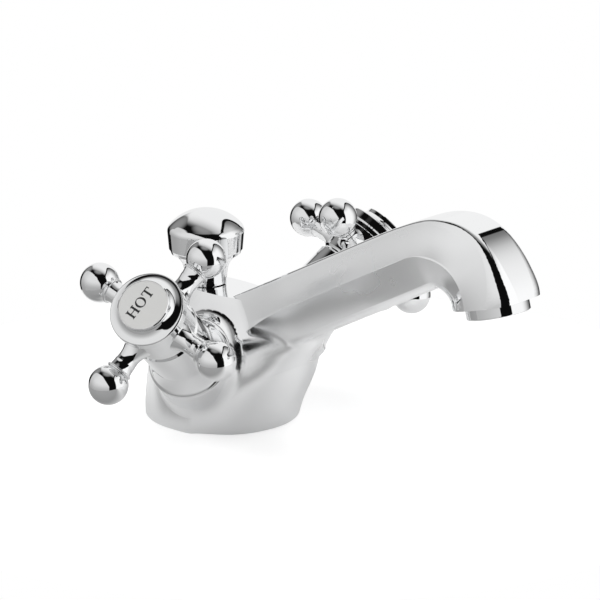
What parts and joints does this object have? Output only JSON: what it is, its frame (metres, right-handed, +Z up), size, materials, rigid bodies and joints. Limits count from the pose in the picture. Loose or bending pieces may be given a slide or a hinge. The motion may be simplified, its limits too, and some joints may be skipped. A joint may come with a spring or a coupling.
{
  "type": "basin mixer tap",
  "caption": "Deck-mounted basin mixer tap with a cast spout that rises and turns down, cross handles with ball ends, domed index buttons and a pop-up waste knob behind the spout.",
  "frame": {"origin": "middle of the underside of the round base, where the tap stands on the basin", "axes": "+Z up, -Y the way the spout points, -X the hot side and +X the cold side"},
  "size_m": [0.1428, 0.1503, 0.0847],
  "materials": {
    "chrome": "polished chrome plate",
    "index_face": "satin index disc",
    "index_lettering": "black enamel fill",
    "brass": "machined brass",
    "ceramic": "polished ceramic",
    "rubber": "black rubber seal",
    "steel": "plain steel",
    "nylon": "moulded white plastic"
  },
  "bodies": {
    "tap": {"tap_body": "chrome", "base_seal": "rubber", "aerator_housing": "chrome", "aerator_insert": "nylon", "aerator_mesh": "steel", "aerator_washer": "rubber", "popup_guide_bush": "chrome", "popup_o_ring": "rubber", "hot_seat_seal": "rubber", "hot_fixed_disc": "ceramic", "hot_headwork_body": "brass", "hot_shroud": "chrome", "cold_seat_seal": "rubber", "cold_fixed_disc": "ceramic", "cold_headwork_body": "brass", "cold_shroud": "chrome"},
    "popup": {"popup_knob": "chrome", "popup_rod": "steel", "popup_stop_ring": "steel"},
    "hot_handle": {"hot_moving_disc": "ceramic", "hot_spindle": "brass", "hot_spindle_o_ring": "rubber", "hot_spindle_clip": "steel", "hot_handle_hub": "chrome", "hot_handle_arm_1": "chrome", "hot_handle_arm_2": "chrome", "hot_handle_arm_3": "chrome", "hot_handle_arm_4": "chrome", "hot_spline_bush": "nylon", "hot_handle_screw": "steel", "hot_index_button": "chrome", "hot_index_disc": "index_face", "hot_index_letters": "index_lettering"},
    "cold_handle": {"cold_moving_disc": "ceramic", "cold_spindle": "brass", "cold_spindle_o_ring": "rubber", "cold_spindle_clip": "steel", "cold_handle_hub": "chrome", "cold_handle_arm_1": "chrome", "cold_handle_arm_2": "chrome", "cold_handle_arm_3": "chrome", "cold_handle_arm_4": "chrome", "cold_spline_bush": "nylon", "cold_handle_screw": "steel", "cold_index_button": "chrome", "cold_index_disc": "index_face", "cold_index_letters": "index_lettering"}
  },
  "joints": [
    {"name": "hot_handle_turn", "type": "hinge", "parent": "tap", "child": "hot_handle", "pos_m": [-0.04823, -0.01717, 0.04522], "axis": [-0.7352, -0.2618, 0.6252], "range_deg": [0, 90]},
    {"name": "cold_handle_turn", "type": "hinge", "parent": "tap", "child": "cold_handle", "pos_m": [0.04823, -0.01717, 0.04522], "axis": [0.7352, -0.2618, 0.6252], "range_deg": [-90, 0]},
    {"name": "popup_lift", "type": "slide", "parent": "tap", "child": "popup", "axis": [0, 0, 1], "range_m": [0, 0.012]}
  ]
}
